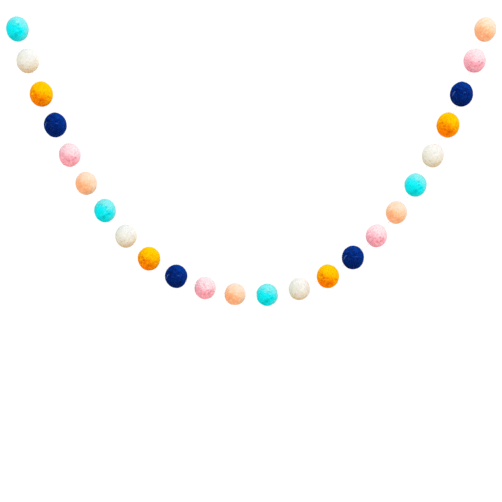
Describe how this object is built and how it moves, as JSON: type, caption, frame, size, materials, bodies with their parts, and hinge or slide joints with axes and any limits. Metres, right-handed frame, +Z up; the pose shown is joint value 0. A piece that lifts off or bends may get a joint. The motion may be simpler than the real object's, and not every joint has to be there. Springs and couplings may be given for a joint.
{
  "type": "felt ball garland",
  "caption": "Garland of round wool felt balls in repeating colours, strung a little apart on a thin thread that hangs in a deep swag from a knotted loop at each end.",
  "frame": {"origin": "midway between the two hanging loops, on the level line where the loops sit on their hooks", "axes": "+Z up, +X to the right along the swag, seen along +Y, so the front faces -Y"},
  "size_m": [0.5565, 0.0259, 0.3614],
  "materials": {
    "felt_turquoise": "dense wool felt, turquoise, matt with a fine fuzz",
    "felt_ivory": "dense wool felt, ivory, matt with a fine fuzz",
    "felt_golden": "dense wool felt, golden, matt with a fine fuzz",
    "felt_navy": "dense wool felt, navy, matt with a fine fuzz",
    "felt_pink": "dense wool felt, pink, matt with a fine fuzz",
    "felt_peach": "dense wool felt, peach, matt with a fine fuzz",
    "cotton_thread": "white twisted cotton, soft sheen"
  },
  "bodies": {
    "root": {"ball_01_turquoise": "felt_turquoise", "ball_02_ivory": "felt_ivory", "ball_03_golden": "felt_golden", "ball_04_navy": "felt_navy", "ball_05_pink": "felt_pink", "ball_06_peach": "felt_peach", "ball_07_turquoise": "felt_turquoise", "ball_08_ivory": "felt_ivory", "ball_09_golden": "felt_golden", "ball_10_navy": "felt_navy", "ball_11_pink": "felt_pink", "ball_12_peach": "felt_peach", "ball_13_turquoise": "felt_turquoise", "ball_14_ivory": "felt_ivory", "ball_15_golden": "felt_golden", "ball_16_navy": "felt_navy", "ball_17_pink": "felt_pink", "ball_18_peach": "felt_peach", "ball_19_turquoise": "felt_turquoise", "ball_20_ivory": "felt_ivory", "ball_21_golden": "felt_golden", "ball_22_navy": "felt_navy", "ball_23_pink": "felt_pink", "ball_24_peach": "felt_peach", "thread": "cotton_thread", "loop_left": "cotton_thread", "loop_right": "cotton_thread"}
  },
  "joints": []
}
